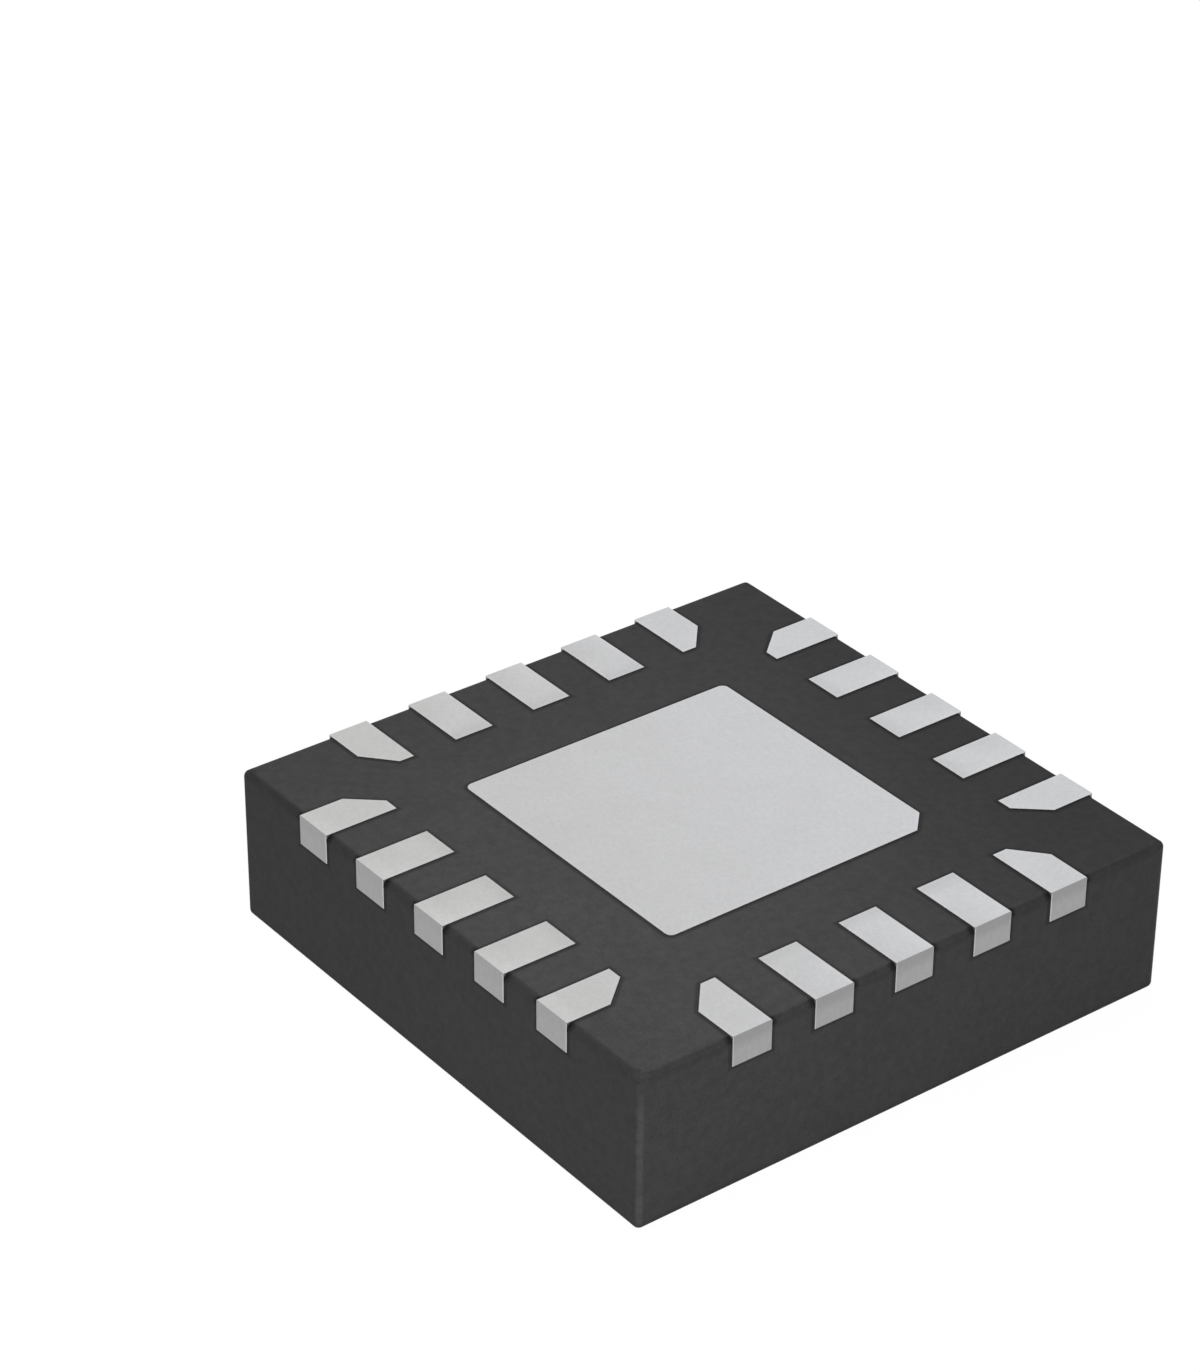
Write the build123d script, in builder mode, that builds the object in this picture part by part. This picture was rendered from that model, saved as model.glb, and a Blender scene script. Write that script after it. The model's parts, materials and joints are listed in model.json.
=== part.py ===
# Leadless battery charge controller chip: a moulded block with a row of leads on each of its four sides
# and an exposed thermal pad. It lies on its plain face, solder side up. The origin is the centre of the
# plain face and +Z points out of the solder side. All sizes are in millimetres.

from build123d import *

import os
from math import copysign, radians, sqrt, tan

# Lead rows
leads_per_side = 5
lead_pitch = 0.5
corner_margin = 0.664  # middle of an end lead to the next side face

# Lead frame: leads and paddle are etched from one strip
frame_thickness = 0.17
etched_thickness = 0.08  # left at the rims and tips, where the solder side is etched away
metal_proud = 0.006  # lands, lead ends and thermal pad stand this far out of the moulding

# Each lead
lead_width = 0.235
land_length = 0.43  # lead end to the inner end of the land
lead_nose = 0.12  # etched tip past the land, under the moulding
lead_flange = 0.03  # etched edge along both sides, which locks the lead in the moulding
flange_cover = 0.15  # moulding between a flange and the side face
end_cut_angle = 49  # cut corner of an end lead, against the lead's inner end

# Die paddle
paddle_gap = 0.17  # lead tips to the paddle's rim
paddle_rim = 0.105  # etched rim all round the thermal pad
pad_corner_radius = 0.04
pad_key = 0.115  # leg of the cut corner that marks lead 1
tie_bar_width = 0.15
tie_bar_gap = 0.116  # tie bar to the land of an end lead, at the land's inner end
tie_bar_cover = 0.05  # moulding between a tie bar's end and the side faces

# Die and adhesive
die_margin = 0.225  # paddle's edge to the die's edge
die_thickness = 0.20
bond_line = 0.025  # adhesive between die and paddle
adhesive_spread = 0.045  # past the die, at the paddle
adhesive_lip = 0.015  # past the die, at the die

# Bond wires, finer than a hair, so wire and ball are drawn with flats instead of round
wire_diameter = 0.025
wire_flats = 8
ball_diameter = 0.06
ball_flats = 12
ball_height = 0.016
ball_inset = 0.06  # die's edge to the middle of a ball
ball_row_margin = 0.285  # die's corner to the first ball of a row
loop_height = 0.16  # die's face to the middle of the wire at the top of its loop
loop_bend = 0.03  # legs of the bend where the wire turns off level
loop_shoulder = 0.12  # ball's middle to where the wire starts to fall
stitch_setback = 0.09  # lead's tip to the place where the wire lands
stitch_length = 0.07
stitch_width = 0.05
stitch_height = 0.008

# Moulding
loop_cover = 0.335  # plain face to the middle of the wire at the top of its loop
edge_radius = 0.035

# Heights, from the plain face up
die_face = loop_cover + loop_height
die_back = die_face + die_thickness
die_level = die_back + bond_line  # the frame's die side
land_level = die_level + frame_thickness
body_height = land_level - metal_proud

# Plan, from the middle of the chip outwards
row_length = (leads_per_side - 1) * lead_pitch
body_side = row_length + 2 * corner_margin
lead_end = body_side / 2 + metal_proud
land_tip = lead_end - land_length
lead_tip = land_tip - lead_nose
flange_end = body_side / 2 - flange_cover
flanged_width = lead_width + 2 * lead_flange
paddle_side = 2 * (lead_tip - paddle_gap)
pad_side = paddle_side - 2 * paddle_rim
tie_bar_reach = sqrt(2) * (body_side / 2 - tie_bar_cover) - tie_bar_width / 2
die_side = paddle_side - 2 * die_margin
ball_row_length = die_side - 2 * ball_row_margin

# Each side's leads keep to a wedge that clears the tie bars, which cuts a corner off the end leads. Its
# slope, and how far out its point is: for the lands, and for what is etched.
cut_slope = tan(radians(end_cut_angle))
land_wedge = land_tip - cut_slope * (land_tip - sqrt(2) * (tie_bar_width / 2 + tie_bar_gap))
etched_wedge = land_wedge - lead_flange * sqrt(1 + cut_slope**2)

diagonal = Axis((0, 0, 0), (1, 1, 0))
down = Vector(0, 0, -1)


# A plane at a height, with its x pointing out of the given side: +X, -Y, -X and +Y in turn
def side_plane(side, height):
    return Plane.XY.offset(height).rotated((0, 0, -90 * side))


# The middle of a lead along its side
def lead_offset(place):
    return row_length / 2 - place * lead_pitch


# Trims a sketch of a lead to the wedge, so that the end leads clear the tie bars
def keep_to_wedge(start):
    far = start + cut_slope * lead_end
    Polygon((start, 0), (far, lead_end), (far, -lead_end), align=None, mode=Mode.INTERSECT)


# Where the wire of a lead starts on the die, measured outwards and along the side
def ball_point(place):
    ball_pitch = ball_row_length / (leads_per_side - 1)
    return Vector(die_side / 2 - ball_inset, ball_row_length / 2 - place * ball_pitch)


# Where it lands: in the middle of what the tie bar's clearance leaves of the lead, a setback from its tip
def stitch_point(place):
    offset = lead_offset(place)
    inner_edge = abs(offset) - flanged_width / 2
    reach = max(lead_tip, etched_wedge + cut_slope * inner_edge) + stitch_setback
    outer_edge = min(abs(offset) + flanged_width / 2, (reach - etched_wedge) / cut_slope)
    return Vector(reach, copysign((inner_edge + outer_edge) / 2, offset))


os.makedirs("parts", exist_ok=True)
sealed_in = []

# Silicon die, with its circuit face down towards the plain face
with BuildPart() as silicon_die:
    with BuildSketch(Plane.XY.offset(die_face)):
        Rectangle(die_side, die_side)
    extrude(amount=die_thickness)
silicon_die.part.label = "silicon_die"
export_step(silicon_die.part, "parts/silicon_die.step")
sealed_in.append(silicon_die.part)

# Adhesive, squeezed out a little past the die and widest at the paddle
with BuildPart() as die_attach:
    with BuildSketch(Plane.XY.offset(die_back)):
        Rectangle(die_side + 2 * adhesive_lip, die_side + 2 * adhesive_lip)
    with BuildSketch(Plane.XY.offset(die_level)):
        Rectangle(die_side + 2 * adhesive_spread, die_side + 2 * adhesive_spread)
    loft()
die_attach.part.label = "die_attach"
export_step(die_attach.part, "parts/die_attach.step")
sealed_in.append(die_attach.part)

# Die paddle: the thermal pad at full thickness, its etched rim and four tie bars towards the corners
with BuildPart() as die_paddle:
    with BuildSketch(Plane.XY.offset(land_level)) as thermal_pad:
        Rectangle(pad_side, pad_side)
        fillet(thermal_pad.vertices().sort_by(diagonal)[:-1], radius=pad_corner_radius)
        chamfer(thermal_pad.vertices().sort_by(diagonal)[-1], length=pad_key)
    extrude(amount=-frame_thickness)
    with BuildSketch(Plane.XY.offset(die_level)):
        Rectangle(paddle_side, paddle_side)
        Rectangle(2 * tie_bar_reach, tie_bar_width, rotation=45)
        Rectangle(2 * tie_bar_reach, tie_bar_width, rotation=135)
    extrude(amount=etched_thickness)
die_paddle.part.label = "die_paddle"
export_step(die_paddle.part, "parts/die_paddle.step")
sealed_in.append(die_paddle.part)

# Leads and their wires, numbered clockwise as seen on the solder side, from the thermal pad's cut corner
for side in range(4):
    for place in range(leads_per_side):
        number = side * leads_per_side + place + 1
        offset = lead_offset(place)

        # Lead: the land at full thickness, and an etched nose and flanges that the moulding covers
        with BuildPart() as lead:
            with BuildSketch(side_plane(side, land_level)):
                with Locations((land_tip, offset)):
                    Rectangle(land_length, lead_width, align=(Align.MIN, Align.CENTER))
                keep_to_wedge(land_wedge)
            extrude(amount=-frame_thickness)
            with BuildSketch(side_plane(side, die_level)):
                with Locations((lead_tip, offset)):
                    Rectangle(flange_end - lead_tip, flanged_width, align=(Align.MIN, Align.CENTER))
                keep_to_wedge(etched_wedge)
            extrude(amount=etched_thickness)
        lead.part.label = f"lead_{number:02d}"
        export_step(lead.part, f"parts/lead_{number:02d}.step")
        sealed_in.append(lead.part)

        # Bond wire: a ball on the die, a loop, and a flattened stitch on the lead
        die_plane = side_plane(side, die_face)
        ball_centre = die_plane.from_local_coords(ball_point(place))
        run = die_plane.from_local_coords(stitch_point(place)) - ball_centre
        span = run.length
        drop = die_level - die_face
        run_per_fall = (span - loop_shoulder) / (loop_height + drop)
        loop_end = (span + run_per_fall * wire_diameter, -drop - wire_diameter)
        with BuildPart() as bond_wire:
            with BuildLine(Plane(ball_centre, x_dir=run, z_dir=run.cross(down))):
                Polyline(
                    (0, 0),
                    (0, loop_height - loop_bend),
                    (loop_bend, loop_height),
                    (loop_shoulder, loop_height),
                    loop_end,
                )
            with BuildSketch(Plane(ball_centre, x_dir=run, z_dir=down)):
                RegularPolygon(wire_diameter / 2, wire_flats)
            sweep(transition=Transition.RIGHT)
            split(bisect_by=Plane.XY.offset(die_level), keep=Keep.BOTTOM)
            with BuildSketch(Plane(ball_centre, x_dir=run, z_dir=down)):
                RegularPolygon(ball_diameter / 2, ball_flats)
            extrude(amount=ball_height)
            with BuildSketch(Plane(ball_centre + run - down * drop, x_dir=run, z_dir=down)):
                Rectangle(stitch_length, stitch_width)
                chamfer(vertices(), length=stitch_width / 4)
            extrude(amount=stitch_height)
        bond_wire.part.label = f"bond_wire_{number:02d}"
        export_step(bond_wire.part, f"parts/bond_wire_{number:02d}.step")
        sealed_in.append(bond_wire.part)

# Moulding: cast round everything else, with all its edges softly rounded
with BuildPart() as mould_body:
    with BuildSketch():
        Rectangle(body_side, body_side)
    extrude(amount=body_height)
    fillet(mould_body.edges(), radius=edge_radius)
    add(sealed_in, mode=Mode.SUBTRACT)
mould_body.part.label = "mould_body"
export_step(mould_body.part, "parts/mould_body.step")
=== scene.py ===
# Leadless battery charge controller chip, lying on its plain face with its solder side up.
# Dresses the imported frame. Metres, +Z out of the solder side, origin in the middle of the plain face.
import json
from math import cos, pi, radians, sin, sqrt, tan

import bmesh
import bpy
from mathutils import Matrix, Vector

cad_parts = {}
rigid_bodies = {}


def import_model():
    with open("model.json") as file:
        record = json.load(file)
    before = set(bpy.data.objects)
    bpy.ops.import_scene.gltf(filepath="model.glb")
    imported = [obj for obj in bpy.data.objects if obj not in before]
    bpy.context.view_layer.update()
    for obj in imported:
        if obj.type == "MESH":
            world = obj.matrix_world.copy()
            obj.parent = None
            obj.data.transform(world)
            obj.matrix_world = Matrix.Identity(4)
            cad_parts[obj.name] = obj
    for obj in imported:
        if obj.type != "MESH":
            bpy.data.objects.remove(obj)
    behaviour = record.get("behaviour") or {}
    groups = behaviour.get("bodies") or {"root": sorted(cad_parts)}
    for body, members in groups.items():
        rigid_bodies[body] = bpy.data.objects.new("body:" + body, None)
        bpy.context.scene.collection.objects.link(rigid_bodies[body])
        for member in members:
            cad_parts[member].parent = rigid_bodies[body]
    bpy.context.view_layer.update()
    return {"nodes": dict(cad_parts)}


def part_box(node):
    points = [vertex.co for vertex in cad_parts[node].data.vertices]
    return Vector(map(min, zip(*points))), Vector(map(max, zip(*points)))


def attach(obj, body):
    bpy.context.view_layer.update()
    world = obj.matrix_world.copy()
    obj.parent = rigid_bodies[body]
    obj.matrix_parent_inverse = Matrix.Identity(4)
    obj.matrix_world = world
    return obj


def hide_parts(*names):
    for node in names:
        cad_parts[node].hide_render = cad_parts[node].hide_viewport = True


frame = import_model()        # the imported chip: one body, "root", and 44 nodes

mm = 0.001
scene = bpy.context.scene
print("frame loaded:", len(frame["nodes"]), "nodes")


# Helpers for node trees

# A new node. Of its inputs, a socket is linked and a value is set.
def addNode(tree, kind, inputs=None, **settings):
    node = tree.nodes.new(kind)
    for name, value in settings.items():
        setattr(node, name, value)
    for name, value in (inputs or {}).items():
        if isinstance(value, bpy.types.NodeSocket):
            tree.links.new(value, node.inputs[name])
        else:
            node.inputs[name].default_value = value
    return node


def calculate(tree, operation, a, b=0.0):
    return addNode(tree, "ShaderNodeMath", {0: a, 1: b}, operation=operation).outputs[0]


def add(tree, a, b):
    return calculate(tree, "ADD", a, b)


def subtract(tree, a, b):
    return calculate(tree, "SUBTRACT", a, b)


def multiply(tree, a, b):
    return calculate(tree, "MULTIPLY", a, b)


def divide(tree, a, b):
    return calculate(tree, "DIVIDE", a, b)


def larger(tree, a, b):
    return calculate(tree, "MAXIMUM", a, b)


def smaller(tree, a, b):
    return calculate(tree, "MINIMUM", a, b)


def absolute(tree, a):
    return calculate(tree, "ABSOLUTE", a)


# 1 where a is more than b, else 0
def isMore(tree, a, b):
    return calculate(tree, "GREATER_THAN", a, b)


# The whole number of steps that comes nearest to a value
def stepsTo(tree, value, step):
    return calculate(tree, "ROUND", divide(tree, value, step))


def axes(tree, place):
    return addNode(tree, "ShaderNodeSeparateXYZ", {0: place}).outputs


def length(tree, a, b):
    both = addNode(tree, "ShaderNodeCombineXYZ", {0: a, 1: b}).outputs[0]
    return addNode(tree, "ShaderNodeVectorMath", {0: both}, operation="LENGTH").outputs["Value"]


# Goes evenly from low to high while a value goes from start to end, which suit noise unless given
def spread(tree, value, low, high, start=0.25, end=0.75):
    inputs = {"Value": value, "From Min": start, "From Max": end, "To Min": low, "To Max": high}
    return addNode(tree, "ShaderNodeMapRange", inputs).outputs[0]


# Rises softly from 0 to 1 while a value goes from start to end
def ramp(tree, value, start, end):
    inputs = {"Value": value, "From Min": start, "From Max": end}
    return addNode(tree, "ShaderNodeMapRange", inputs, interpolation_type="SMOOTHSTEP").outputs[0]


# Rises from 0 to 1 over one range and falls back to 0 over another
def band(tree, value, rise, fall):
    return multiply(tree, ramp(tree, value, *rise), ramp(tree, value, *fall))


# Noise whose blobs are about the given size, drawn out along an axis by a stretch under 1
def noise(tree, place, blob, detail=2.0, stretch=(1, 1, 1)):
    scaled = addNode(tree, "ShaderNodeMapping", {"Vector": place, "Scale": stretch}).outputs[0]
    inputs = {"Vector": scaled, "Scale": 1 / blob, "Detail": detail, "Roughness": 0.5}
    return addNode(tree, "ShaderNodeTexNoise", inputs).outputs[0]


# Noise as a factor round 1
def varied(tree, texture, strength):
    return spread(tree, texture, 1 - strength, 1 + strength)


# A point folded onto one side of the chip: how far out, and how far along the side
def folded(tree, x, y):
    x, y = absolute(tree, x), absolute(tree, y)
    return larger(tree, x, y), smaller(tree, x, y)


# 1 at the sides that run along Y, which are +X and -X, and 0 at those that run along X
def isAlongY(tree, x, y):
    return isMore(tree, absolute(tree, x), absolute(tree, y))


# The first of two values at the sides that run along X, the second at those along Y
def bySide(tree, x, y, values):
    return spread(tree, isAlongY(tree, x, y), *values, 0, 1)


# A factor times 1 + tone for each tone. A tone over 0 is lighter, one under 0 is darker.
def toned(tree, factor, *tones):
    for tone in tones:
        factor = multiply(tree, factor, add(tree, tone, 1.0))
    return factor


# Helpers for materials

def newMaterial(name):
    material = bpy.data.materials.new(name)
    material.use_nodes = True
    tree = material.node_tree
    surface = tree.nodes["Principled BSDF"]
    place = addNode(tree, "ShaderNodeTexCoord").outputs["Object"]
    return material, tree, surface, place


def setColour(tree, surface, colour, factor):
    inputs = {0: colour, "Scale": factor}
    mixed = addNode(tree, "ShaderNodeVectorMath", inputs, operation="SCALE").outputs[0]
    tree.links.new(mixed, surface.inputs["Base Color"])


def setRoughness(tree, surface, texture, limits):
    tree.links.new(spread(tree, texture, *limits), surface.inputs["Roughness"])


def setBump(tree, surface, height, depth):
    inputs = {"Height": height, "Distance": depth, "Strength": 1.0}
    tree.links.new(addNode(tree, "ShaderNodeBump", inputs).outputs[0], surface.inputs["Normal"])


# Sizes that pieces share with the frame and with each other

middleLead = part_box("lead_03")
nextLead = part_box("lead_02")
chip = {
    "dieLevel": middleLead[0].z,  # top of the die attach, underside of leads and paddle
    "landLevel": middleLead[1].z,
    "side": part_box("mould_body")[1].x,
    "bodyLevel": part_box("mould_body")[1].z,
    "edgeRadius": 0.035 * mm,
    "etched": 0.08 * mm,  # what the etching leaves at tips and rims
    "tieBarWidth": 0.15 * mm,
    "edgeBreak": 0.003 * mm,  # on the exposed edges of the metal
}
etchedLevel = chip["dieLevel"] + chip["etched"]

leadRow = {
    "sides": 4,
    "perSide": 5,
    "pitch": nextLead[0].y - middleLead[0].y,
    "end": middleLead[1].x,
    "tip": middleLead[0].x,
    "flangedWidth": middleLead[1].y - middleLead[0].y,
    "landWidth": 0.235 * mm,
    "landLength": 0.43 * mm,
    "flangeCover": 0.15 * mm,  # moulding between a flange and the side of the chip
    "tieBarGap": 0.116 * mm,  # at the inner end of an end lead's land
    "endCut": tan(radians(49)),  # slope of the cut corner of an end lead
}
landTip = leadRow["end"] - leadRow["landLength"]

# Each side's leads keep to a wedge that clears the tie bars: how far out its point is
slant = sqrt(1 + leadRow["endCut"] ** 2)
tieBarEdge = sqrt(2) * (chip["tieBarWidth"] / 2 + leadRow["tieBarGap"])
landWedge = landTip - leadRow["endCut"] * (landTip - tieBarEdge)
flange = (leadRow["flangedWidth"] - leadRow["landWidth"]) / 2
etchedWedge = landWedge - flange * slant

paddle = {
    "padSide": 1.69 * mm,
    "rim": 0.105 * mm,
    "cornerRadius": 0.04 * mm,
    "cornerSteps": 8,
    "key": 0.115 * mm,  # leg of the cut corner that marks lead 1
}


# Moulding compound: charcoal epoxy, packed with fine filler, straight from a matt mould.
# Painted shade darkens it where it meets the metal, round the solder side, round the plain face and towards
# +Y on its solder side, and a painted highlight lightens it up the corners.

mouldFinish = {
    "colour": (0.0430, 0.0430, 0.0432),
    "clouding": (0.45 * mm, 0.05),  # size, strength
    "mottle": (0.050 * mm, 0.13),
    "grain": (0.014 * mm, 0.17),
    "grainDepth": 0.0009 * mm,
    "roughness": (0.60, 0.72),
    "specular": 0.12,
    # Painted shade: on the solder side it is darker towards +Y, and a share of that towards +X
    "topShade": -0.26,
    "topShadeShare": 0.35,
    "topShadeReach": (0.25 * mm, 1.85 * mm),
    "topShadeFall": (-0.5, -1.3),  # places on the rounded edge, as for the rim
    # Painted shade round the solder side: edges along X, edges along Y. Starts, falls and the like are
    # places on the rounded edge: -1 where it leaves the top, 0 half way, 1 where it reaches the side.
    "rim": (-0.34, -0.24),
    "rimStart": (-1.35, -0.85),
    "rimRise": 0.65,  # from its start to its full tone
    "rimFall": (1.6, 0.9),
    "rimEase": -0.75,  # share of its tone that it loses towards the side
    "rimEaseReach": (-0.3, 0.9),
    "rimFoot": (-0.05, -0.14),  # a second line at its lower side
    "rimFootRise": (0.5, 0.95),
    "rimFootFall": (2.2, 1.2),
    "rimCorner": 0.11 * mm,  # radius of its corners, in plan
    # Painted highlight up the upright corners, and painted shade round the plain face. Reaches and falls
    # are in edge radii.
    "corner": 0.60,
    "cornerReachX": (0.1, 0.7),
    "cornerReachY": (-0.15, 0.5),
    "cornerEase": -0.7,  # share of its tone that it loses towards the top
    "cornerEaseReach": (-5.0, -1.5),
    "cornerFall": (0.2, -0.2),
    "cornerPatchSize": 0.06 * mm,
    "cornerPatchShares": (0.75, 1.25),
    "foot": -0.30,
    "footReach": (1.6, 0.6),
    # Painted contact shade beside the metal, on the faces and on the rounded edge
    "contactShade": -0.42,
    "contactShadeWidth": 0.030 * mm,
    "contactShadeCore": 0.4,  # share of a width that is at its full tone
    "contactShadeOnRim": -0.55,
    "contactShadeOnRimWidth": 0.048 * mm,
    "contactShadeOnRimRise": (-1.0, -0.5),  # places on the rounded edge, as for the rim
    "contactShadeOnRimFall": (1.2, 0.7),
}


# Distance to the outline of the nearest metal that shows, less than 0 on the metal
def metalDistance(tree, place):
    row = leadRow
    x, y, z = axes(tree, place)
    out, along = folded(tree, x, y)

    # The leads of the four rows
    steps = smaller(tree, stepsTo(tree, along, row["pitch"]), (row["perSide"] - 1) / 2)
    offset = absolute(tree, subtract(tree, along, multiply(tree, steps, row["pitch"])))
    lead = larger(tree, subtract(tree, offset, row["landWidth"] / 2), subtract(tree, landTip, out))
    wedge = add(tree, multiply(tree, along, row["endCut"]), landWedge)
    lead = larger(tree, lead, multiply(tree, subtract(tree, wedge, out), 1 / slant))

    # The thermal pad, with its rounded corners and its cut one
    half, radius = paddle["padSide"] / 2, paddle["cornerRadius"]
    pastOut = larger(tree, subtract(tree, out, half - radius), 0.0)
    pastAlong = larger(tree, subtract(tree, along, half - radius), 0.0)
    pad = subtract(tree, length(tree, pastOut, pastAlong), radius)
    key = subtract(tree, add(tree, x, y), 2 * half - paddle["key"])
    pad = larger(tree, pad, multiply(tree, key, sqrt(0.5)))
    return larger(tree, smaller(tree, lead, pad), subtract(tree, chip["dieLevel"], z))


# A ramp whose start and end are in radii of the moulding's edges
def rampInRadii(tree, value, reach):
    return ramp(tree, value, *[share * chip["edgeRadius"] for share in reach])


# Painted shade round the solder side, by the place on the rounded edge: the rim and its foot
def rimShadeTones(tree, x, y, over):
    look = mouldFinish
    sinceStart = subtract(tree, over, bySide(tree, x, y, look["rimStart"]))
    rim = multiply(tree, ramp(tree, sinceStart, 0, look["rimRise"]), ramp(tree, over, *look["rimFall"]))
    ease = multiply(tree, ramp(tree, over, *look["rimEaseReach"]), look["rimEase"])
    rim = multiply(tree, toned(tree, rim, ease), bySide(tree, x, y, look["rim"]))
    foot = band(tree, over, look["rimFootRise"], look["rimFootFall"])
    return rim, multiply(tree, foot, bySide(tree, x, y, look["rimFoot"]))


# Painted highlight up the corners, broken into patches
def cornerHighlight(tree, place, fromX, fromY, fromTop):
    look = mouldFinish
    acrossX = rampInRadii(tree, fromX, look["cornerReachX"])
    acrossY = rampInRadii(tree, fromY, look["cornerReachY"])
    ease = multiply(tree, rampInRadii(tree, fromTop, look["cornerEaseReach"]), look["cornerEase"])
    corner = toned(tree, smaller(tree, acrossX, acrossY), ease)
    corner = multiply(tree, corner, rampInRadii(tree, fromTop, look["cornerFall"]))
    highlightPatches = spread(tree, noise(tree, place, look["cornerPatchSize"]), *look["cornerPatchShares"])
    return multiply(tree, multiply(tree, corner, highlightPatches), look["corner"])


# Painted contact shade beside the metal, on the faces and on the rounded edge
def contactShadeTones(tree, place, over):
    look = mouldFinish
    distance = metalDistance(tree, place)

    def beside(width):
        return ramp(tree, distance, width, look["contactShadeCore"] * width)

    contactShade = multiply(tree, beside(look["contactShadeWidth"]), look["contactShade"])
    onRim = band(tree, over, look["contactShadeOnRimRise"], look["contactShadeOnRimFall"])
    onRim = multiply(tree, beside(look["contactShadeOnRimWidth"]), onRim)
    return contactShade, multiply(tree, onRim, look["contactShadeOnRim"])


# How much lighter or darker the compound is from place to place: painted shade and a painted highlight
def mouldTone(tree, place):
    look = mouldFinish
    radius = chip["edgeRadius"]
    x, y, z = axes(tree, place)
    fromX = subtract(tree, absolute(tree, x), chip["side"] - radius)
    fromY = subtract(tree, absolute(tree, y), chip["side"] - radius)
    fromTop = subtract(tree, z, chip["bodyLevel"] - radius)

    # Place on the rounded edge, measured with rounder corners than the moulding has
    bend = look["rimCorner"] - radius
    pastX = larger(tree, add(tree, fromX, bend), 0.0)
    pastY = larger(tree, add(tree, fromY, bend), 0.0)
    fromSide = subtract(tree, length(tree, pastX, pastY), bend)
    over = multiply(tree, subtract(tree, fromSide, fromTop), 1 / radius)

    # Painted shade round the plain face, where the chip stands on the floor
    foot = multiply(tree, rampInRadii(tree, z, look["footReach"]), look["foot"])
    # Painted shade on the solder side, darker towards +Y
    topShade = ramp(tree, add(tree, y, multiply(tree, x, look["topShadeShare"])), *look["topShadeReach"])
    topShade = multiply(tree, multiply(tree, topShade, ramp(tree, over, *look["topShadeFall"])), look["topShade"])
    corner = cornerHighlight(tree, place, fromX, fromY, fromTop)
    contactShades = contactShadeTones(tree, place, over)
    return toned(tree, 1.0, *rimShadeTones(tree, x, y, over), foot, corner, *contactShades, topShade)


def mouldCompound():
    material, tree, surface, place = newMaterial("mouldCompound")
    look = mouldFinish
    factor = mouldTone(tree, place)
    for blob, strength in (look["clouding"], look["mottle"], look["grain"]):
        factor = multiply(tree, factor, varied(tree, noise(tree, place, blob, detail=3), strength))
    setColour(tree, surface, look["colour"], factor)
    grain = noise(tree, place, look["grain"][0], detail=4)
    setRoughness(tree, surface, grain, look["roughness"])
    surface.inputs["Specular IOR Level"].default_value = look["specular"]
    setBump(tree, surface, grain, look["grainDepth"])
    return material


# Matt tin on the lands, the thermal pad and the lead ends

tinFinish = {
    "clouds": 0.16 * mm,
    "grain": (0.018 * mm, 0.050),  # size, strength
    "grainDepth": 0.0004 * mm,
    "roughness": (0.40, 0.50),
    # Painted sheen: what faces up turns lighter and cooler towards +Y, and a share of that towards +X
    "warm": (0.958, 0.956, 0.946),
    "cool": (1.051, 1.058, 1.087),
    "turnShare": 0.35,
    "turn": (-1.9 * mm, 1.2 * mm),
    "patches": (0.30 * mm, 0.15),  # of warmer and cooler tint: size, strength
    # Painted highlight along the outline of what faces up
    "rim": 0.035,
    "rimWidth": 0.025 * mm,
    "rimCore": 0.2,  # share of its width that is at its full tone
    # Painted highlight at the outer ends of the lands on the -Y side, measured from there
    "outerEnd": 0.05,
    "outerReach": (0.13 * mm, 0.02 * mm),
    # On the lands between the end leads, measured from their inner ends
    "innerEnd": -0.07,
    "innerReach": (0.11 * mm, 0.02 * mm),
    "innerMargin": 0.01 * mm,  # the broken edge there belongs to the land too
    "sheen": 0.035,  # across their outer half, lighter towards +X or +Y
    "sheenReach": (0.1 * mm, 0.3 * mm),
    "sheenWidth": 0.08 * mm,  # either way from the middle of a land
    # Painted shade at the top of the lead ends, measured down from there: sides along X, sides along Y
    "underEdge": (-0.03, -0.14),
    "underReach": (0.10 * mm, 0.03 * mm),
}


# Tint of the tin that faces up: random warmer and cooler patches, and a painted sheen, lighter and cooler
# towards +Y
def tinTintAndSheen(tree, x, y, place):
    look = tinFinish
    paintedSheen = ramp(tree, add(tree, y, multiply(tree, x, look["turnShare"])), *look["turn"])
    blob, strength = look["patches"]
    patches = spread(tree, noise(tree, place, blob, detail=1), -strength, strength)
    # Sockets 6 and 7 are the node's two colours, and output 2 is its colour
    inputs = {0: add(tree, paintedSheen, patches), 6: (*look["warm"], 1), 7: (*look["cool"], 1)}
    return addNode(tree, "ShaderNodeMix", inputs, data_type="RGBA").outputs[2]


# How far across its own land a point is, towards +X or +Y
def acrossLand(tree, x, y):
    alongY = isAlongY(tree, x, y)
    alongRow = add(tree, multiply(tree, alongY, y), multiply(tree, subtract(tree, 1.0, alongY), x))
    steps = stepsTo(tree, alongRow, leadRow["pitch"])
    return subtract(tree, alongRow, multiply(tree, steps, leadRow["pitch"]))


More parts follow.
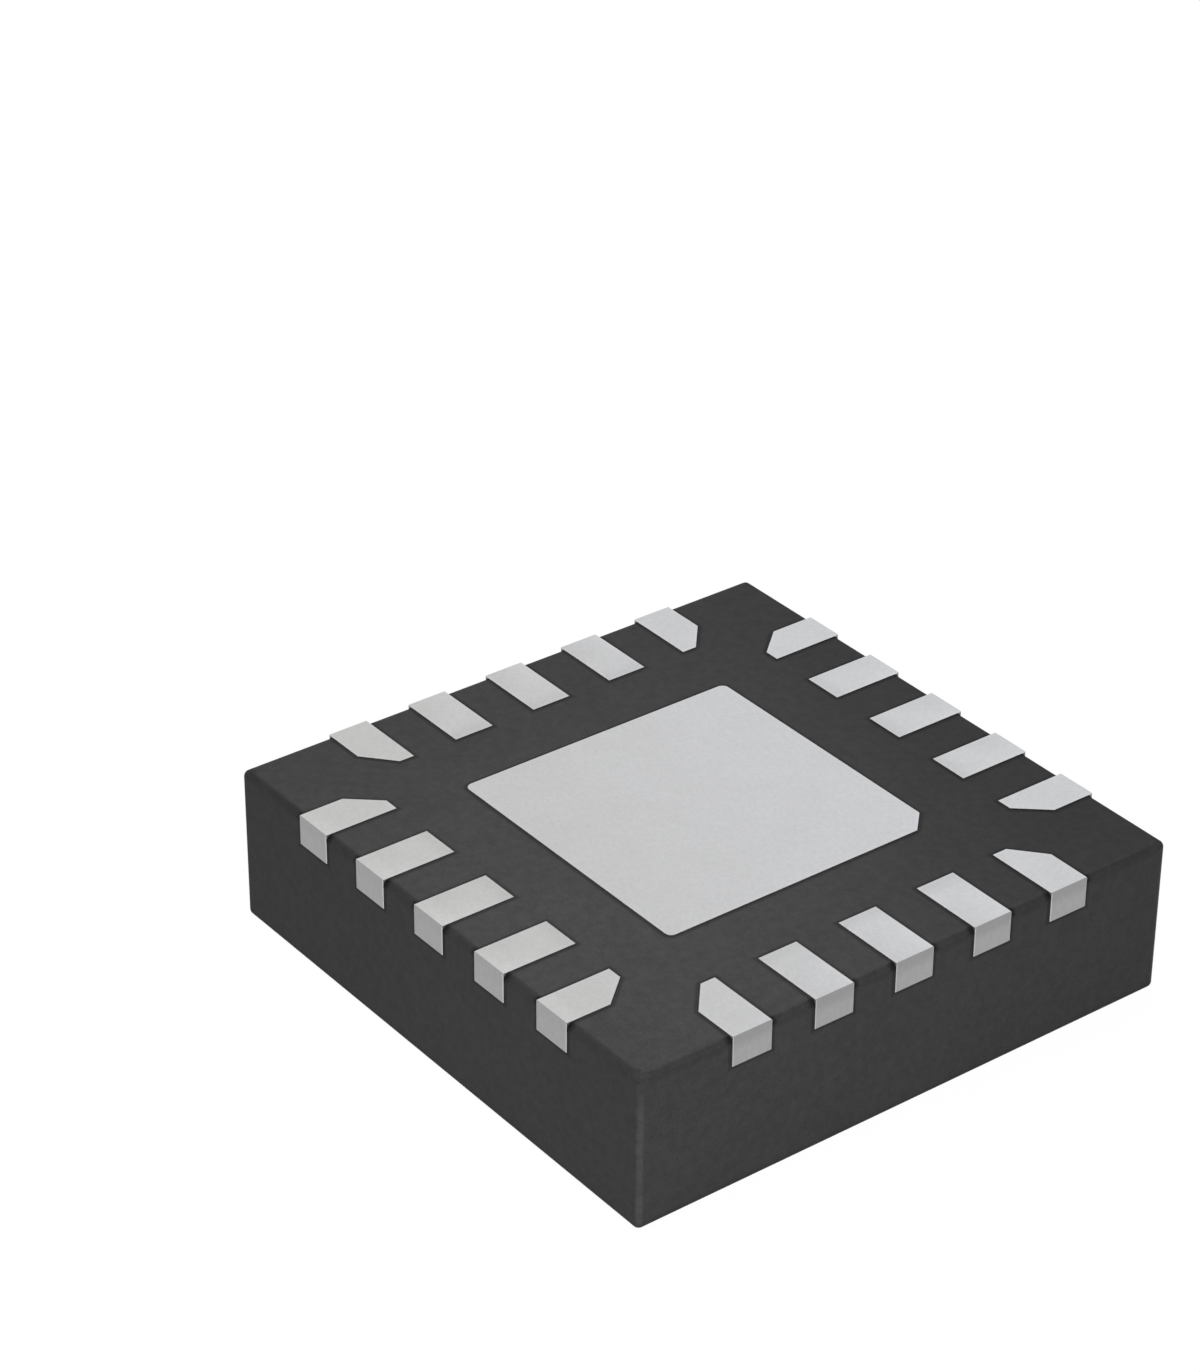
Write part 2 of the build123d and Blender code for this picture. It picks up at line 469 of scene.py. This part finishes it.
# Tones of the tin that faces up: painted highlights along its outline and at the outer ends, a darker inner
# end, and a painted sheen across the middle of the lands
def upwardTones(tree, x, y, place):
    look = tinFinish
    width = look["rimWidth"]
    atRim = ramp(tree, metalDistance(tree, place), -width, -look["rimCore"] * width)

    out, along = folded(tree, x, y)
    atOuterEnd = ramp(tree, subtract(tree, leadRow["end"], out), *look["outerReach"])
    onMinusY = isMore(tree, multiply(tree, y, -1.0), absolute(tree, x))
    outerEnd = multiply(tree, multiply(tree, atOuterEnd, onMinusY), look["outerEnd"])

    fromTip = subtract(tree, out, landTip)
    pastMiddle = (leadRow["perSide"] - 2) / 2 * leadRow["pitch"]  # half way to the end lead
    onMiddle = multiply(tree, isMore(tree, pastMiddle, along), isMore(tree, fromTip, -look["innerMargin"]))
    atInnerEnd = multiply(tree, ramp(tree, fromTip, *look["innerReach"]), onMiddle)
    width, strength = look["sheenWidth"], look["sheen"]
    sheen = spread(tree, acrossLand(tree, x, y), -strength, strength, -width, width)
    sheen = multiply(tree, sheen, ramp(tree, fromTip, *look["sheenReach"]))
    return (
        multiply(tree, atRim, look["rim"]),
        outerEnd,
        multiply(tree, atInnerEnd, look["innerEnd"]),
        multiply(tree, sheen, onMiddle),
    )


# Painted shade on the lead ends, under the edge of the land
def underEdgeShade(tree, x, y, z):
    look = tinFinish
    under = ramp(tree, subtract(tree, chip["landLevel"], z), *look["underReach"])
    return multiply(tree, under, bySide(tree, x, y, look["underEdge"]))


def mattTin(name, level, clouding, streaks=(1, 1, 1), facesUp=True):
    material, tree, surface, place = newMaterial(name)
    look = tinFinish
    x, y, z = axes(tree, place)
    clouds = noise(tree, place, look["clouds"], detail=3, stretch=streaks)
    blob, strength = look["grain"]
    grain = noise(tree, place, blob, detail=3, stretch=streaks)
    factor = multiply(tree, varied(tree, clouds, clouding), varied(tree, grain, strength))
    if facesUp:
        tint = tinTintAndSheen(tree, x, y, place)
        factor = toned(tree, factor, *upwardTones(tree, x, y, place))
    else:
        tint = (1, 1, 1)
        factor = toned(tree, factor, underEdgeShade(tree, x, y, z))
    setColour(tree, surface, tint, multiply(tree, factor, level))
    setRoughness(tree, surface, clouds, look["roughness"])
    surface.inputs["Metallic"].default_value = 1.0
    setBump(tree, surface, grain, look["grainDepth"])
    return material


# Flanks of the metal: painted shade, nearly black, which leaves plain tin round the outer end of a lead

flankFinish = {
    "paintedShade": 0.014,
    "tin": 0.31,  # added where the tin is free
    # The painted shade stops at the moulding's rounded edge, in edge radii from the middle of its round
    "unshadedOut": (0.1, 0.4),
    "unshadedReach": (1.05, 1.2),
    "mottle": (0.02 * mm, 0.1),  # size, strength
    "roughness": 0.6,
    "specular": 0.1,
}


def flankSkin():
    material, tree, surface, place = newMaterial("flankSkin")
    look = flankFinish
    x, y, z = axes(tree, place)
    fromSide = subtract(tree, folded(tree, x, y)[0], chip["side"] - chip["edgeRadius"])
    fromTop = subtract(tree, z, chip["bodyLevel"] - chip["edgeRadius"])
    isOut = rampInRadii(tree, fromSide, look["unshadedOut"])
    free = multiply(tree, isOut, rampInRadii(tree, length(tree, fromSide, fromTop), look["unshadedReach"]))
    tone = add(tree, multiply(tree, free, look["tin"]), look["paintedShade"])
    blob, strength = look["mottle"]
    mottle = varied(tree, noise(tree, place, blob), strength)
    setColour(tree, surface, (1, 1, 1), multiply(tree, tone, mottle))
    tree.links.new(free, surface.inputs["Metallic"])
    surface.inputs["Roughness"].default_value = look["roughness"]
    surface.inputs["Specular IOR Level"].default_value = look["specular"]
    return material


# What the moulding covers: rolled copper alloy of the lead frame, bare silicon, silver-filled adhesive
# and drawn copper wire. The one texture of each has a size, and a stretch where it runs one way.

sealedFinishes = {
    "frameAlloy": {
        "colour": (0.620, 0.340, 0.220),
        "metallic": 1.0,
        "roughness": (0.35, 0.50),
        "texture": (0.02 * mm, 0.1),  # size, strength
        "detail": 3,
        "stretch": (1, 0.1, 1),
        "depth": 0,  # of its relief
    },
    "bareSilicon": {
        "colour": (0.110, 0.115, 0.130),
        "metallic": 0.0,
        "roughness": (0.22, 0.34),
        "texture": (0.05 * mm, 0.1),
        "detail": 2,
        "stretch": (0.05, 1, 1),
        "depth": 0,
    },
    "silverEpoxy": {
        "colour": (0.400, 0.400, 0.395),
        "metallic": 0.3,
        "roughness": (0.45, 0.70),
        "texture": (0.01 * mm, 0.3),
        "detail": 3,
        "stretch": (1, 1, 1),
        "depth": 0.001 * mm,
    },
    "drawnCopper": {
        "colour": (0.720, 0.330, 0.180),
        "metallic": 1.0,
        "roughness": (0.22, 0.36),
        "texture": (0.006 * mm, 0.07),
        "detail": 2,
        "stretch": (1, 1, 1),
        "depth": 0,
    },
}


def sealedFinish(name):
    material, tree, surface, place = newMaterial(name)
    look = sealedFinishes[name]
    blob, strength = look["texture"]
    texture = noise(tree, place, blob, look["detail"], look["stretch"])
    setColour(tree, surface, look["colour"], varied(tree, texture, strength))
    setRoughness(tree, surface, texture, look["roughness"])
    surface.inputs["Metallic"].default_value = look["metallic"]
    if look["depth"]:
        setBump(tree, surface, texture, look["depth"])
    return material


padTin = mattTin("padTin", level=0.582, clouding=0.018)
landTin = mattTin("landTin", level=0.582, clouding=0.036)
# A slightly lighter copy of the tin for the broken edges: painted highlight
edgeTin = mattTin("edgeTin", level=0.600, clouding=0.018)
# A darker copy of the tin for the lead ends: painted shade
endTin = mattTin("endTin", level=0.362, clouding=0.036, streaks=(1, 1, 0.5), facesUp=False)
flanks = flankSkin()
bareFrame = sealedFinish("frameAlloy")
print("finishes of the metal made")


# Outlines and solids. An outline is a list of (x, y) in metres, anticlockwise.

# The part of a convex outline where x * alongX + y * alongY is at least a reach
def trim(outline, alongX, alongY, reach):
    kept = []
    for (x0, y0), (x1, y1) in zip(outline, outline[1:] + outline[:1]):
        before = x0 * alongX + y0 * alongY - reach
        after = x1 * alongX + y1 * alongY - reach
        if before >= 0:
            kept.append((x0, y0))
        if before * after < 0:
            share = before / (before - after)
            kept.append((x0 + share * (x1 - x0), y0 + share * (y1 - y0)))
    return kept


def rectangle(lowX, highX, width):
    return [(lowX, -width / 2), (highX, -width / 2), (highX, width / 2), (lowX, width / 2)]


def prism(outline, bottom, top):
    work = bmesh.new()
    base = work.faces.new([work.verts.new((x, y, bottom)) for x, y in outline])
    grown = bmesh.ops.extrude_face_region(work, geom=[base])
    for vert in (v for v in grown["geom"] if isinstance(v, bmesh.types.BMVert)):
        vert.co.z = top
    bmesh.ops.recalc_face_normals(work, faces=work.faces[:])
    mesh = bpy.data.meshes.new("prism")
    work.to_mesh(mesh)
    work.free()
    return mesh


def newObject(name, data):
    made = bpy.data.objects.new(name, data)
    scene.collection.objects.link(made)
    return made


# Makes what an object's modifiers give into its plain mesh
def settle(made):
    mesh = bpy.data.meshes.new_from_object(made.evaluated_get(bpy.context.evaluated_depsgraph_get()))
    made.modifiers.clear()
    made.data = mesh
    mesh.name = made.name


# One closed solid from several prisms
def fuse(name, prisms):
    first, *others = [newObject(name, mesh) for mesh in prisms]
    for other in others:
        union = first.modifiers.new("union", "BOOLEAN")
        union.operation = "UNION"
        union.solver = "EXACT"
        union.object = other
    settle(first)
    for other in others:
        bpy.data.objects.remove(other)
    return first


# Finishes of the faces of a lead or the pad, kept in a face attribute
hidden, onTop, onEdge, onEnd, onFlank = range(5)


# Breaks the exposed edges of a fused solid and notes the finish of each face.
# Exposed are its top face and, where it has one, its end face at the side of the chip.
def breakEdges(made, top, end, width):
    work = bmesh.new()
    work.from_mesh(made.data)
    flat = radians(0.5)  # faces that meet at less become one
    bmesh.ops.dissolve_limit(work, angle_limit=flat, verts=work.verts[:], edges=work.edges[:])
    near = width / 10
    deep = 10 * width
    straight = 0.99  # least share of a flat face's normal along its axis
    slanted = 0.3  # least share of a broken edge's normal along +X or +Z

    def isTop(face):
        return face.normal.z > straight and abs(face.calc_center_median().z - top) < near

    def isEnd(face):
        isAtEnd = end is not None and abs(face.calc_center_median().x - end) < near
        return isAtEnd and face.normal.x > straight

    # The lower edge of an end face stays sharp
    def isDeep(edge):
        return all(vert.co.z < top - deep for vert in edge.verts)

    exposed = [e for e in work.edges if any(isTop(f) or isEnd(f) for f in e.link_faces) and not isDeep(e)]
    bmesh.ops.bevel(work, geom=exposed, offset=width, segments=2, profile=0.5, affect="EDGES")
    finish = work.faces.layers.int.new("finish")
    for face in work.faces:
        x, y, z = face.normal
        reachesTop = max(vert.co.z for vert in face.verts) > top - 2 * width
        isBroken = max(abs(x), abs(y), abs(z)) < straight and (z > slanted or x > slanted)
        if isTop(face):
            face[finish] = onTop
        elif isEnd(face) or (end is not None and x > slanted and z > slanted):
            face[finish] = onEnd
        elif reachesTop and isBroken:
            face[finish] = onEdge
        elif reachesTop and abs(z) < 1 - straight:
            face[finish] = onFlank
        else:
            face[finish] = hidden
    work.to_mesh(made.data)
    work.free()


# Leads: the land, which shows, and the etched nose and flanges that the moulding grips

# One lead at a place along its side. The wedge cuts a corner off the end leads.
def leadBlank(name, along):
    row = leadRow
    flangeEnd = chip["side"] - row["flangeCover"]
    land = rectangle(landTip, row["end"], row["landWidth"])
    grip = rectangle(row["tip"], flangeEnd, row["flangedWidth"])
    for way in (row["endCut"], -row["endCut"]):
        land = trim(land, 1, way, landWedge - way * along)
        grip = trim(grip, 1, way, etchedWedge - way * along)
    solids = [prism(land, chip["dieLevel"], chip["landLevel"]), prism(grip, chip["dieLevel"], etchedLevel)]
    blank = fuse(name, solids)
    breakEdges(blank, chip["landLevel"], row["end"], chip["edgeBreak"])
    return blank


# Gives every face its material by its finish attribute, as the last nodes of a tree
def finishNodes(tree, geometry, materials):
    inputs = {"Name": "finish"}
    finish = addNode(tree, "GeometryNodeInputNamedAttribute", inputs, data_type="INT").outputs["Attribute"]
    for value, material in materials.items():
        # Sockets 2 and 3 are the node's two whole numbers
        inputs = {2: finish, 3: value}
        chosen = addNode(tree, "FunctionNodeCompare", inputs, data_type="INT", operation="EQUAL").outputs[0]
        inputs = {"Geometry": geometry, "Selection": chosen, "Material": material}
        geometry = addNode(tree, "GeometryNodeSetMaterial", inputs).outputs[0]
    return geometry


# Rows of leads along the sides: the first and last blank of a row end it, the middle one fills it
def leadRowTree(materials):
    tree = bpy.data.node_groups.new("leadRows", "GeometryNodeTree")
    kinds = {"Blanks": "Collection", "Leads Per Side": "Int", "Lead Pitch": "Float", "Sides": "Int"}
    sockets = {}
    for name, kind in kinds.items():
        added = tree.interface.new_socket(name=name, in_out="INPUT", socket_type="NodeSocket" + kind)
        sockets[name] = added.identifier
    tree.interface.new_socket(name="Leads", in_out="OUTPUT", socket_type="NodeSocketGeometry")
    given = addNode(tree, "NodeGroupInput").outputs
    index = addNode(tree, "GeometryNodeInputIndex").outputs[0]

    # Points of a row, from its first lead on, and which blank stands on each
    last = subtract(tree, given["Leads Per Side"], 1.0)
    half = multiply(tree, multiply(tree, last, given["Lead Pitch"]), 0.5)
    start = addNode(tree, "ShaderNodeCombineXYZ", {"Y": half}).outputs[0]
    back = multiply(tree, given["Lead Pitch"], -1.0)
    step = addNode(tree, "ShaderNodeCombineXYZ", {"Y": back}).outputs[0]
    inputs = {"Count": given["Leads Per Side"], "Start Location": start, "Offset": step}
    points = addNode(tree, "GeometryNodeMeshLine", inputs).outputs[0]
    which = add(tree, isMore(tree, index, 0.5), isMore(tree, index, subtract(tree, last, 0.5)))
    inputs = {"Collection": given["Blanks"], "Separate Children": True, "Reset Children": True}
    blanks = addNode(tree, "GeometryNodeCollectionInfo", inputs).outputs[0]
    inputs = {"Points": points, "Instance": blanks, "Pick Instance": True, "Instance Index": which}
    row = addNode(tree, "GeometryNodeInstanceOnPoints", inputs).outputs[0]

    # The row again on each side, turned clockwise as seen on the solder side
    row = addNode(tree, "GeometryNodeGeometryToInstance", {0: row}).outputs[0]
    middle = addNode(tree, "GeometryNodePoints", {"Count": given["Sides"]}).outputs[0]
    turn = multiply(tree, index, divide(tree, -2 * pi, given["Sides"]))
    turn = addNode(tree, "ShaderNodeCombineXYZ", {"Z": turn}).outputs[0]
    turn = addNode(tree, "FunctionNodeEulerToRotation", {0: turn}).outputs[0]
    inputs = {"Points": middle, "Instance": row, "Rotation": turn}
    rows = addNode(tree, "GeometryNodeInstanceOnPoints", inputs).outputs[0]
    solid = addNode(tree, "GeometryNodeRealizeInstances", {"Geometry": rows}).outputs[0]
    out = addNode(tree, "NodeGroupOutput")
    tree.links.new(finishNodes(tree, solid, materials), out.inputs[0])
    return tree, sockets


def makeLeads():
    row = leadRow
    halfRow = row["pitch"] * (row["perSide"] - 1) / 2
    blanks = bpy.data.collections.new("leadBlanks")
    for order, along in enumerate((halfRow, 0.0, -halfRow)):
        blank = leadBlank(f"leadBlank{order}", along)
        scene.collection.objects.unlink(blank)
        blanks.objects.link(blank)
    finishes = {hidden: bareFrame, onTop: landTin, onEdge: edgeTin, onEnd: endTin, onFlank: flanks}
    tree, sockets = leadRowTree(finishes)
    leads = newObject("lead_rows", bpy.data.meshes.new("lead_rows"))
    rows = leads.modifiers.new("rows", "NODES")
    rows.node_group = tree
    rows[sockets["Blanks"]] = blanks
    rows[sockets["Leads Per Side"]] = row["perSide"]
    rows[sockets["Lead Pitch"]] = row["pitch"]
    rows[sockets["Sides"]] = row["sides"]
    settle(leads)
    for blank in list(blanks.objects):
        bpy.data.objects.remove(blank)
    bpy.data.collections.remove(blanks)
    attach(leads, "root")
    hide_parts(*[name for name in frame["nodes"] if name.startswith("lead_")])
    print("leads:", len(leads.data.polygons), "faces")


# Die paddle: the thermal pad shows, its etched rim and tie bars are in the moulding

# The pad's outline: a cut corner at +X +Y and three rounded ones
def padOutline():
    half = paddle["padSide"] / 2
    radius = paddle["cornerRadius"]
    outline = [(half, half - paddle["key"]), (half - paddle["key"], half)]
    for corner, (wayX, wayY) in enumerate(((-1, 1), (-1, -1), (1, -1)), start=1):
        for step in range(paddle["cornerSteps"] + 1):
            turn = (corner + step / paddle["cornerSteps"]) * pi / 2
            x = wayX * (half - radius) + radius * cos(turn)
            y = wayY * (half - radius) + radius * sin(turn)
            outline.append((x, y))
    return outline


def makePaddle():
    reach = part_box("die_paddle")[1].x - chip["tieBarWidth"] / 2 / sqrt(2)  # middle of a tie bar's end
    bar = rectangle(-sqrt(2) * reach, sqrt(2) * reach, chip["tieBarWidth"])
    rimSide = paddle["padSide"] + 2 * paddle["rim"]
    prisms = [
        prism(padOutline(), chip["dieLevel"], chip["landLevel"]),
        prism(rectangle(-rimSide / 2, rimSide / 2, rimSide), chip["dieLevel"], etchedLevel),
    ]
    for turn in (pi / 4, -pi / 4):
        mesh = prism(bar, chip["dieLevel"], etchedLevel)
        mesh.transform(Matrix.Rotation(turn, 4, "Z"))
        prisms.append(mesh)
    made = fuse("thermal_pad", prisms)
    breakEdges(made, chip["landLevel"], None, chip["edgeBreak"])
    finishes = {hidden: bareFrame, onTop: padTin, onEdge: edgeTin, onFlank: flanks}
    for material in finishes.values():
        made.data.materials.append(material)
    finish = made.data.attributes["finish"].data
    for face in made.data.polygons:
        face.material_index = list(finishes).index(finish[face.index].value)
    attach(made, "root")
    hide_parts("die_paddle")
    print("thermal pad:", len(made.data.polygons), "faces")


# Finish of nodes that stay as the frame has them
def dress(material, *names):
    for name in names:
        node = frame["nodes"][name]
        node.data.materials.clear()
        node.data.materials.append(material)
    print("nodes dressed in", material.name + ":", len(names))


# Stage: a white floor that keeps a faint shadow, a white world and three soft boxes

stage = {
    "floorSide": 400 * mm,
    "floorDrop": 0.002 * mm,
    "floorColour": (0.65, 0.65, 0.65, 1),  # what the floor throws back on the chip
    "whiteness": 0.95,  # share of plain white that the camera sees in the floor
    "glow": 1.03,  # brightness of that white
    "ambient": 0.44,
}
# A level is what a white card in the middle of the chip, square to the lamp, gets from it
softBoxes = {
    "frontBox": {"azimuth": 66, "elevation": 25, "distance": 8 * mm, "side": 4 * mm, "level": 0.31},
    "topBox": {"azimuth": 14, "elevation": 68, "distance": 4.5 * mm, "side": 2.5 * mm, "level": 0.44},
    "backBox": {"azimuth": 236, "elevation": 20, "distance": 16 * mm, "side": 8 * mm, "level": 0.26},
}


# 1 for rays that see the stage as plain white: from the camera, from gloss and through glass
def whiteRays(tree):
    path = addNode(tree, "ShaderNodeLightPath").outputs
    seen = larger(tree, path["Is Camera Ray"], path["Is Glossy Ray"])
    return larger(tree, seen, path["Is Transmission Ray"])


def makeFloor():
    material = bpy.data.materials.new("whiteFloor")
    material.use_nodes = True
    tree = material.node_tree
    tree.nodes.clear()
    matt = addNode(tree, "ShaderNodeBsdfDiffuse", {"Color": stage["floorColour"]})
    white = addNode(tree, "ShaderNodeEmission", {"Color": (1, 1, 1, 1), "Strength": stage["glow"]})
    share = multiply(tree, whiteRays(tree), stage["whiteness"])
    mix = addNode(tree, "ShaderNodeMixShader", {0: share, 1: matt.outputs[0], 2: white.outputs[0]})
    addNode(tree, "ShaderNodeOutputMaterial", {"Surface": mix.outputs[0]})
    half = stage["floorSide"] / 2
    mesh = bpy.data.meshes.new("floor")
    corners = [(-half, -half), (half, -half), (half, half), (-half, half)]
    mesh.from_pydata([(x, y, -stage["floorDrop"]) for x, y in corners], [], [(0, 1, 2, 3)])
    mesh.materials.append(material)
    newObject("floor", mesh)


def makeWorld():
    world = bpy.data.worlds.new("softWhite")
    world.use_nodes = True
    scene.world = world
    tree = world.node_tree
    strength = spread(tree, whiteRays(tree), stage["ambient"], 1.0, 0, 1)
    tree.links.new(strength, tree.nodes["Background"].inputs["Strength"])
    tree.nodes["Background"].inputs["Color"].default_value = (1, 1, 1, 1)


# Point round the middle of the chip; azimuth 0 is on the -Y side and 90 on the +X side
def around(azimuth, elevation, distance):
    a, e = radians(azimuth), radians(elevation)
    return Vector((sin(a) * cos(e), -cos(a) * cos(e), sin(e))) * distance


def makeSoftBox(name, azimuth, elevation, distance, side, level):
    lamp = bpy.data.lights.new(name, "AREA")
    lamp.size = side
    lamp.energy = level * pi**2 * distance**2
    holder = newObject(name, lamp)
    holder.visible_camera = False
    holder.visible_glossy = False
    holder.location = around(azimuth, elevation, distance)
    holder.rotation_euler = holder.location.to_track_quat("Z", "Y").to_euler()


# Camera where the photograph was taken from

photoView = {
    "frameHeight": 1372,  # pixels
    "focalLength": 4079.1,  # pixels
    "place": (13.4937 * mm, -10.9659 * mm, 11.9774 * mm),
    "azimuth": 52.5455,
    "elevation": 30.8873,
    "roll": 0.3724,
    "sensor": 36.0,
    "nearest": 0.5 * mm,
    "farthest": 2.0,
}


def makeCamera():
    cameraData = bpy.data.cameras.new("camera")
    cameraData.sensor_width = photoView["sensor"]
    cameraData.lens = photoView["focalLength"] * photoView["sensor"] / photoView["frameHeight"]
    cameraData.clip_start = photoView["nearest"]
    cameraData.clip_end = photoView["farthest"]
    camera = newObject("camera", cameraData)
    turn = Matrix.Rotation(radians(photoView["azimuth"]), 4, "Z")
    tilt = Matrix.Rotation(radians(90 - photoView["elevation"]), 4, "X")
    roll = Matrix.Rotation(radians(photoView["roll"]), 4, "Z")
    camera.matrix_world = Matrix.Translation(photoView["place"]) @ turn @ tilt @ roll
    scene.camera = camera


makeCamera()
makeLeads()
makePaddle()
dress(mouldCompound(), "mould_body")
dress(sealedFinish("bareSilicon"), "silicon_die")
dress(sealedFinish("silverEpoxy"), "die_attach")
dress(sealedFinish("drawnCopper"), *[name for name in frame["nodes"] if name.startswith("bond_wire_")])
makeFloor()
makeWorld()
for name, box in softBoxes.items():
    makeSoftBox(name, **box)
scene.view_settings.view_transform = "Standard"
print("stage, lamps and camera made")

print("done")
